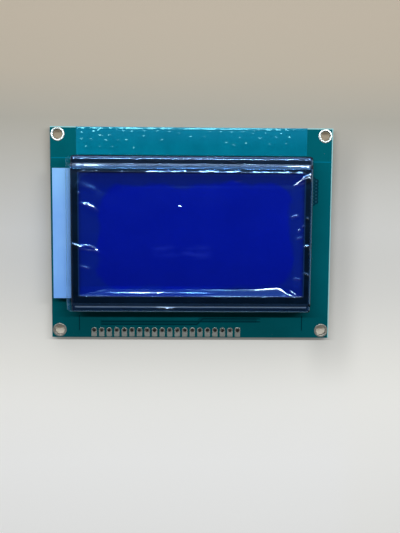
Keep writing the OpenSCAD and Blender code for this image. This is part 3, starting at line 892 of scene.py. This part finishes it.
def film_over_bezel(x, v):
    """Level of the film on the ledges, the step and the raised front, and where it hangs over the edges."""
    foot = 0.19 + 0.05 * ripple(x, 0.12, 1)
    risen = bent_floor((LEDGE_Y - FOOT_GAP - abs(v + FRONT_DROP)) / STEP_RUN, foot)
    level = LEDGE_Z + STEP_RISE * (1 - bent_floor(1 - risen, 0.12))
    if v > 0:
        level += tent_share(x) * max(tent_level(x, v) - level, 0)
    level -= bend_drop(abs(v) - (BEZEL_Y - BEND_R)) + bend_drop(x - (BEZEL_X - BEND_R))
    free = max(HANG_START - BEZEL_X - x, 0)
    return level - HANG_FALL * free**2


def film_rise(x, v):
    """Share of the way from the screen up to the lip at which the film hangs inside the window."""
    left = 6.0 + 1.4 * hump(v, -13, 7) + 2.0 * hump(v, 12, 4)
    right = 3.3 + 0.9 * hump(v, 12, 8)
    top = 4.1 - 0.015 * x + 1.8 * hump(x, -27, 4)
    rises = (
        1 - (x + WINDOW_X) / left,
        1 - (WINDOW_X - x) / right,
        1 - (WINDOW_Y - v) / top,
        lower_rise(x, v),
    )
    return min(sum(max(rise, 0) ** RISE_BLEND for rise in rises) ** (1 / RISE_BLEND), 1)


def glint_slope(y):
    """Slope toward +Y at which the film mirrors the strip lamp to the eye."""
    to_eye = math.atan2(EYE_Y - y, EYE_Z - LIP_Z)
    to_lamp = math.atan2(STRIP_Y - y, STRIP_Z - LIP_Z)
    return math.tan((to_eye + to_lamp) / 2)


def hump_height(lean, y, width, kept):
    """Height of a hump whose flank, of which the mesh keeps a share, has a part of the glint's slope."""
    return lean * glint_slope(y) * width / HUMP_SLOPE / kept


def crease_level(x, y, crease):
    run_x = crease.end[0] - crease.start[0]
    run_y = crease.end[1] - crease.start[1]
    reach = math.hypot(run_x, run_y)
    off_x = x - crease.start[0]
    off_y = y - crease.start[1]
    along = (off_x * run_x + off_y * run_y) / reach**2
    if not 0 < along < 1:
        return 0
    fade = 4 * along * (1 - along)
    across = (off_y * run_x - off_x * run_y) / reach - crease.bow * fade
    height = hump_height(crease.share * reach / run_x, y, crease.width, CELL_KEEPS)
    return height * math.sqrt(fade) * hump(across, -crease.width * STEEPEST, crease.width)


def blister_level(x, y, blister):
    away = math.hypot(x - blister.place[0], y - blister.place[1] + blister.radius * STEEPEST)
    return hump_height(blister.share, y, blister.radius, CELL_KEEPS) * hump(away, 0, blister.radius)


def film_puckers(x, v):
    """Ragged ridge along the window's top edge, grain on the lip above it and puckers on the top ledge."""
    taut = 0.25 + 0.75 * smooth(x, -18, -13)
    edge = WINDOW_Y - 0.1 + 0.4 * ripple(x, 0.8, 2) + 0.2 * ripple(x, 1.7, 14) - 0.15 * smooth(x, 5, 25)
    ragged = 1.05 + 0.45 * ripple(x, 0.7, 3) + 0.6 * ripple(x, 1.1, 4)
    ends = smooth(x, -36.2, -35) * smooth(x, 36.2, 35)
    ridge = hump_height(ragged, DISPLAY_Y + v, EDGE_RIDGE, CELL_KEEPS)
    level = max(ridge, 0) * taut * ends * hump(v, edge, EDGE_RIDGE)
    lip = smooth(v, WINDOW_Y, WINDOW_Y + 0.4) * smooth(v, LIP_TOP, LIP_TOP - 0.4)
    level += 0.018 * lip * taut * noise.noise((x * 1.4, v * 2.0, 2.5))
    ledge = smooth(v, LEDGE_Y + 0.5, LEDGE_Y + 1.0)
    loose = 0.08 + hump(x, -14, 5) + 0.2 * hump(x, 13, 3)
    return level + 0.06 * ledge * loose * max(noise.noise((x * 1.1, v * 1.4, 6.5)), 0)


def lower_span(x):
    """Width of the free span over the window's lower edge."""
    whole = 0.5 + 1.65 * smooth(x, -36.2, -27) + 0.45 * hump(x, 27, 3)
    return max(whole - 0.68 * bent_floor(x - 28.9, 1.0), 0.15)


def lower_rise(x, v):
    """Share of the way up over the window's lower edge, rounded at the screen and at the lip."""
    span = lower_span(x)
    rise = bent_floor(1 - (v + WINDOW_Y - LOWER_BEND) / span, 0.03 + 0.1 * hump(x, -31, 4))
    return 1 - bent_floor(1 - rise, LOWER_BEND / span)


def lower_lift(x, v):
    """Height of the gentle ramp by which the film leaves the screen, broad toward the right end."""
    reach = 0.03 + 0.06 * smooth(x, 4, 12) + 0.1 * smooth(x, 19, 25) + 0.32 * smooth(x, 28, 29.5)
    lean = glint_slope(DISPLAY_Y + v) * (0.88 + 0.12 * smooth(x, 19, 25))
    turn = lean * (lower_span(x + 0.1) - lower_span(x - 0.1)) / 0.2
    return lean * (1 - turn**2) * max(lower_span(x) + LOWER_BEND + reach - v - WINDOW_Y, 0)


def film_ripple(x, v):
    """Wave across the lower span, which brings a third bright line between its edges."""
    inside = smooth(x, -WINDOW_X, -WINDOW_X + 6) * smooth(x, WINDOW_X, WINDOW_X - 6)
    height = 0.03 + 0.05 * smooth(x, 16, 4) + 0.005 * ripple(x, 0.25, 5)
    height += 0.012 * hump(x, -17, 3.5) + 0.01 * hump(x, -10.5, 1)
    share = (v + WINDOW_Y) / lower_span(x)
    span = smooth(share, 0, 0.2) * smooth(share, 1.1, 0.8)
    return inside * span * height * math.sin(2 * math.pi * (share - 0.55))


def film_level(x, y):
    """Height of the film over the floor."""
    v = y - DISPLAY_Y
    level = film_over_bezel(x, v)
    if abs(x) < WINDOW_X and abs(v) < WINDOW_Y:
        drop = level - SCREEN_Z
        level = SCREEN_Z + max(drop * film_rise(x, v) + film_ripple(x, v), min(lower_lift(x, v), drop))
    level += film_puckers(x, v)
    level += sum(crease_level(x, y, crease) for crease in CREASES)
    level += sum(blister_level(x, y, blister) for blister in BLISTERS)
    return level + FILM_GAP


def glint_whitening(x, y):
    """Share of whiter tint painted on the film's folds and glint lines, from 0 to 1: a painted highlight."""
    v = y - DISPLAY_Y
    folds = sum(crease_level(x, y, crease) / crease.width for crease in CREASES)
    folds += sum(blister_level(x, y, blister) / blister.radius for blister in BLISTERS)
    if v > 0:
        lines = 0.35 * hump(v, WINDOW_Y, 0.6) + 0.5 * hump(v, LEDGE_Y - FRONT_DROP, 0.5)
        lines += (0.1 + 0.35 * tent_ends(x)) * hump(v, LEDGE_Y - 0.7, 0.5)
        lines += 0.3 * smooth(v, LEDGE_Y + 0.2, LEDGE_Y + 0.8)
    else:
        above = v + WINDOW_Y
        lines = hump(above, lower_span(x) + LOWER_BEND, 0.5) * (0.06 + 0.94 * hump(x, 27, 8))
        lines += 0.7 * hump(above, 1.1, 0.5) * hump(x, -15, 7) + 0.35 * hump(above, 0.1, 0.2)
    return min(smooth(folds / glint_slope(y), 0.62, 0.82) + lines, 1)


def spread(place, ends, cells):
    """Place on an even grid moved so that each stretch between the ends has its own count of cells."""
    line = sum(cells) * (place - ends[0]) / (ends[-1] - ends[0])
    for low, high, count in zip(ends, ends[1:], cells):
        if line < count:
            return low + (high - low) * line / count
        line -= count
    return ends[-1]


def flat_grid(low, high, columns, rows):
    """Level grid of even cells between two corners."""
    width = high.x - low.x
    depth = high.y - low.y
    bm = bmesh.new()
    bmesh.ops.create_grid(bm, x_segments=columns, y_segments=rows, size=0.5)
    bmesh.ops.scale(bm, vec=(width, depth, 1), verts=bm.verts)
    bmesh.ops.translate(bm, vec=(low.x + width / 2, low.y + depth / 2, 0), verts=bm.verts)
    return bm


def lift(bm, level):
    """Puts each point of a grid at the height that level gives for its x and y."""
    for vert in bm.verts:
        vert.co.z = level(vert.co.x, vert.co.y)


def trim(bm, place, outward):
    """Cuts off what lies beyond a plane."""
    everything = bm.verts[:] + bm.edges[:] + bm.faces[:]
    bmesh.ops.bisect_plane(bm, geom=everything, plane_co=place, plane_no=outward, clear_outer=True)


def trim_corners(bm):
    """Rounds the film's corners, and cuts the lower left one straight."""
    middle = (FILM_LOW + FILM_HIGH) / 2
    for side_x, side_y in ((1, 1), (1, -1), (-1, 1)):
        reach_x = (FILM_HIGH.x - FILM_LOW.x) / 2 - FILM_CORNER
        reach_y = (FILM_HIGH.y - FILM_LOW.y) / 2 - FILM_CORNER
        centre = middle + Vector((side_x * reach_x, side_y * reach_y, 0))
        for angle in CORNER_ANGLES:
            turn = math.radians(angle)
            outward = Vector((side_x * math.cos(turn), side_y * math.sin(turn), 0))
            trim(bm, centre + outward * FILM_CORNER, outward)
    trim(bm, FILM_LOW + Vector((FILM_CORNER, 0, 0)), CUT_OUTWARD)


def make_film(finish):
    bm = flat_grid(FILM_LOW, FILM_HIGH, sum(FILM_X_CELLS), sum(FILM_Y_CELLS))
    for vert in bm.verts:
        vert.co.x = spread(vert.co.x, FILM_X, FILM_X_CELLS)
        vert.co.y = spread(vert.co.y, FILM_Y, FILM_Y_CELLS)
    trim_corners(bm)
    lift(bm, film_level)
    glint_white = bm.verts.layers.float.new("glint_white")
    for vert in bm.verts:
        vert[glint_white] = glint_whitening(vert.co.x, vert.co.y)
    film = piece("clear_film_sheet", bm, finish, "clear_film", "protective_film")
    thicken(film, FILM_SHEET, BOTH)


# Solder and mask relief on the board

POUR_LOW, POUR_HIGH = box_mm("copper_pour")
POUR_CELLS = (506, 56)
POUR_SKIN = 0.05
POUR_SHEET, MASK_SHEET = 0.04, 0.03
# Reach of a via's dome in x and in y
VIA_WIDE, VIA_DEEP = 0.75, 0.42
# Tented vias in the pour: where each one's glint lies, and how strong it is from 0 to 1
POUR_VIAS = (
    (-36.2, 33.1, 1.0), (-32.1, 33.5, 1.0), (-30.0, 32.2, 1.0), (-27.1, 32.3, 1.0), (-36.2, 31.1, 1.0),
    (-33.1, 30.8, 0.8), (-28.1, 30.6, 0.9), (-24.2, 30.8, 0.7), (-21.6, 30.8, 0.7), (-19.7, 33.6, 1.0),
    (-15.8, 32.1, 0.7), (-10.0, 30.9, 0.7), (-0.5, 32.0, 0.7), (4.0, 32.0, 0.7), (11.2, 30.2, 0.6),
    (13.8, 29.4, 0.6), (15.7, 31.8, 0.8), (17.7, 30.0, 0.6), (22.4, 31.7, 0.8), (27.7, 32.0, 0.8),
    (-34.7, 28.6, 0.4), (-30.2, 28.7, 0.4), (-26.4, 28.5, 0.4), (-19.2, 28.2, 0.4), (25.5, 29.6, 0.5),
    (31.0, 29.9, 0.5), (31.9, 32.1, 0.6),
    (-30.6, 33.9, 1.0), (-24.4, 33.9, 1.0), (-22.6, 33.8, 1.0), (-15.8, 33.8, 1.0), (-11.3, 33.7, 1.0),
    (-7.4, 33.6, 0.9), (-4.2, 33.2, 0.5), (5.8, 33.7, 1.0), (9.4, 33.7, 1.0), (13.1, 33.6, 1.0),
    (16.7, 33.7, 1.0), (19.9, 33.3, 0.7), (24.6, 33.4, 0.7), (29.3, 33.3, 0.6),
)
# Share of a dome's slope that the mesh keeps, the lean of the faintest dome and what the strongest adds
VIA_KEEPS = 0.915
VIA_LEAN, VIA_GAIN = 0.9, 0.27
VIA_REACH = 3


def pour_level(x, y):
    """Height of the mask over the pour: rolled edges and the vias' domes."""
    inside = min(x - POUR_LOW.x, POUR_HIGH.x - x, y - POUR_LOW.y)
    level = POUR_SKIN * smooth(inside, -0.05, 0.3)
    for via_x, via_y, strength in POUR_VIAS:
        away = math.hypot((x - via_x) / VIA_WIDE, (y - via_y) / VIA_DEEP + STEEPEST)
        if away < VIA_REACH:
            lean = VIA_LEAN + VIA_GAIN * strength
            level += hump_height(lean, y, VIA_DEEP, VIA_KEEPS) * hump(away, 0, 1)
    return BOARD_FACE + level


def make_pour(finish):
    bm = flat_grid(POUR_LOW, POUR_HIGH, *POUR_CELLS)
    lift(bm, pour_level)
    pour = piece("pour_mask", bm, finish, "masked_copper", "copper_pour")
    thicken(pour, POUR_SHEET, BELOW)


# Tented vias right of the display, in two columns
SIDE_PITCH = 1.12
SIDE_COLUMNS = 2
SIDE_STEP = 0.9
SIDE_COUNT = 8
SIDE_RING = 0.35
SIDE_SWELL = 0.85
SIDE_DOME = 0.27
SIDE_MARGIN = Vector((0.9, 0.9, 0))
SIDE_CELLS = (36, 120)
# Heights of the sheet's edge, its swelling round the vias and their domes
SIDE_EDGE, SWELL_TALL, DOME_TALL = -0.02, 0.05, 0.015


def side_vias():
    """Places of the vias, in columns that are staggered by half a pitch."""
    for column in range(SIDE_COLUMNS):
        for index in range(SIDE_COUNT - column % 2):
            drop = (index + column % 2 / 2) * SIDE_PITCH
            yield VIA_LOW.x + SIDE_RING + column * SIDE_STEP, VIA_HIGH.y - SIDE_RING - drop


def make_side_vias(finish):
    places = list(side_vias())
    bm = flat_grid(VIA_LOW - SIDE_MARGIN, VIA_HIGH + SIDE_MARGIN, *SIDE_CELLS)
    dome = bm.verts.layers.float.new("dome")
    for vert in bm.verts:
        away = min(math.hypot(vert.co.x - x, vert.co.y - y) for x, y in places)
        bead = hump(away, 0, SIDE_DOME)
        vert.co.z = BOARD_FACE + SIDE_EDGE + SWELL_TALL * hump(away, 0, SIDE_SWELL) + DOME_TALL * bead
        vert[dome] = bead
    sheet = piece("side_via_mask", bm, finish, "masked_copper", "via_rings")
    thicken(sheet, MASK_SHEET, BELOW)


# The mask's rolled edge between the pour and the board's top edge
ROLL_FOOT = 0.05
ROLL_TALL = 0.075
ROLL_LEAST = 0.005
# How far the roll lies on the pour
ROLL_LAP = 0.15
ROLL_CELLS = (380, 6)


def roll_level(x, y):
    """Height of the rolled edge, whose lean wanders about the one that mirrors the strip lamp."""
    wander = 1 + 0.3 * ripple(x, 0.25, 11) + 0.45 * ripple(x, 0.9, 12)
    fall = wander * glint_slope(y) * (y - POUR_HIGH.y + ROLL_LAP)
    return BOARD_FACE + max(ROLL_TALL - fall, ROLL_LEAST)


def make_roll(finish):
    low = Vector((POUR_LOW.x, POUR_HIGH.y - ROLL_LAP, 0))
    high = Vector((POUR_HIGH.x, BOARD_HIGH.y - ROLL_FOOT, 0))
    bm = flat_grid(low, high, *ROLL_CELLS)
    lift(bm, roll_level)
    roll = piece("rolled_mask_edge", bm, finish, "masked_copper")
    thicken(roll, MASK_SHEET, BELOW)


# Solder lower than this over the board stays even
SOLDER_EVEN = 0.02
RING_STEPS = 56
BEAD_STEPS = 8
# A bead is flatter on top the lower this power is
BEAD_POWER = 0.4


def roughen(bm, swell, rate, start):
    """Makes the solder on the board's face uneven, by noise with its own start."""
    for vert in bm.verts:
        if vert.co.z > BOARD_FACE + SOLDER_EVEN:
            spot = (vert.co.x * rate + start[0], vert.co.y * rate + start[1], start[2])
            vert.co.z += swell * noise.noise(spot)


def close(bm):
    """Caps the open ends that trimming left, and turns the faces outward."""
    rim = [edge for edge in bm.edges if edge.is_boundary]
    bmesh.ops.holes_fill(bm, edges=rim, sides=0)
    bmesh.ops.recalc_face_normals(bm, faces=bm.faces)


def ring_section():
    """Section of a tinned ring, as distances from the hole's axis and heights: two beads and the barrel."""
    beads = []
    for step in range(BEAD_STEPS + 1):
        share = step / BEAD_STEPS
        swell = RING_TALL * math.sin(math.pi * share) ** BEAD_POWER
        beads.append((RING_BORE + (BEAD_R - RING_BORE) * share, swell))
    top = [(reach, BOARD_FACE + swell) for reach, swell in beads]
    foot = [(reach, BOARD_BACK - swell) for reach, swell in reversed(beads)]
    wall = RING_BORE + RING_WALL
    return top + [(wall, BOARD_FACE), (wall, BOARD_BACK)] + foot


def spun_ring(centre_x, centre_y):
    bm = bmesh.new()
    points = [bm.verts.new((reach, 0, height)) for reach, height in ring_section()]
    section = [bm.edges.new(pair) for pair in zip(points, points[1:] + points[:1])]
    bmesh.ops.spin(
        bm, geom=points + section, cent=(0, 0, 0), axis=(0, 0, 1), angle=2 * math.pi,
        steps=RING_STEPS, use_merge=True,
    )
    roughen(bm, 0.03, 0.7, (centre_x, centre_y, 3.5))
    bmesh.ops.translate(bm, vec=(centre_x, centre_y, 0), verts=bm.verts)
    trim(bm, (math.copysign(PAD_HIGH.x, centre_x), 0, 0), (math.copysign(1, centre_x), 0, 0))
    trim(bm, (0, math.copysign(PAD_HIGH.y, centre_y), 0), (0, math.copysign(1, centre_y), 0))
    close(bm)
    return bm


def joined(parts):
    """One mesh made of several."""
    whole = bmesh.new()
    for bm in parts:
        mesh = bpy.data.meshes.new("part")
        bm.to_mesh(mesh)
        bm.free()
        whole.from_mesh(mesh)
        bpy.data.meshes.remove(mesh)
    return whole


def make_rings(finish):
    rings = [spun_ring(side_x * HOLE_X, side_y * HOLE_Y) for side_x in (-1, 1) for side_y in (-1, 1)]
    piece("solder_rings", joined(rings), finish, "tinned_copper", "mounting_pads")


# Section of a pad's bead, as shares of the way from the hole to the outline and of its height
PAD_BEAD = ((0, 0.9), (0.2, 0.97), (0.45, 1.0), (0.85, 0.97), (0.96, 0.6), (1, 0))


def pad_reach(angle, square):
    """Distance from a header hole's axis to its pad's outline: a round or square top over a straight foot."""
    side = abs(math.cos(angle))
    rise = math.sin(angle)
    if rise > 0 and not square:
        return PIN_HALF
    down = PIN_HALF if rise > 0 else PIN_FOOT
    return min(PIN_HALF / max(side, 1e-6), down / max(abs(rise), 1e-6))


def pad_loop(bm, share, height, square):
    """Loop of edges a share of the way from the hole to the pad's outline."""
    made = bmesh.ops.create_circle(bm, segments=PIN_SIDES, radius=1.0)
    for vert in made["verts"]:
        angle = math.atan2(vert.co.y, vert.co.x)
        reach = PIN_BORE + (pad_reach(angle, square) - PIN_BORE) * share
        vert.co = Vector((math.cos(angle) * reach, math.sin(angle) * reach, height))
    return list({edge for vert in made["verts"] for edge in vert.link_edges})


def header_pad(index):
    """A tinned pad with a low bead on each face, round a plated hole."""
    square = index == PIN_COUNT - 1
    bm = bmesh.new()
    profile = [(share, BOARD_FACE + PIN_TALL * swell) for share, swell in PAD_BEAD]
    profile += [(share, BOARD_BACK - PIN_TALL * swell) for share, swell in reversed(PAD_BEAD)]
    loops = [pad_loop(bm, share, height, square) for share, height in profile]
    for first, second in zip(loops, loops[1:] + loops[:1]):
        bmesh.ops.bridge_loops(bm, edges=first + second)
    for edge in loops[0] + loops[-1]:
        edge.smooth = False
    bmesh.ops.recalc_face_normals(bm, faces=bm.faces)
    roughen(bm, 0.02, 0.9, (0, 0, index * 3.7))
    bmesh.ops.translate(bm, vec=(FIRST_PIN + index * PIN_PITCH, PIN_Y, 0), verts=bm.verts)
    return bm


def make_pads(finish):
    pads = [header_pad(index) for index in range(PIN_COUNT)]
    piece("solder_pads", joined(pads), finish, "tinned_copper", "pin_pads")


light_studio()
lay_floor()
place_camera()

copper = mask_over_copper()
tin = tinned_copper()
dress(solder_mask(), "pcb")
dress(copper, "copper_pour", "front_traces")
dress(tin, "mounting_pads", "pin_pads", "backlight_leads")
dress(bright_solder(), "lead_solder", "chip_solder")
dress(bezel_paint(), "bezel")
dress(screen_blue(), "front_polarizer", "rear_polarizer")
dress(wrap_film(), "backlight_wrap")
plain = simple_finishes()
dress(plain["glass"], "front_glass", "rear_glass")
dress(plain["white_film"], "diffuser_film", "reflector_film")
dress(plain["acrylic"], "light_guide")
dress(plain["lamp_board"], "led_board")
dress(plain["lamp"], "leds")
dress(plain["contact_rubber"], "zebra_strip_top", "zebra_strip_bottom")
dress(plain["black_resin"], "controller_glob", "driver_glob_left", "driver_glob_right")
dress(plain["resistor"], "chip_resistors")
dress(plain["capacitor"], "chip_capacitors")
make_pour(copper)
make_roll(copper)
make_side_vias(via_mask())
make_rings(tin)
make_pads(tin)
make_film(clear_film())

bpy.context.scene.view_settings.view_transform = "Standard"
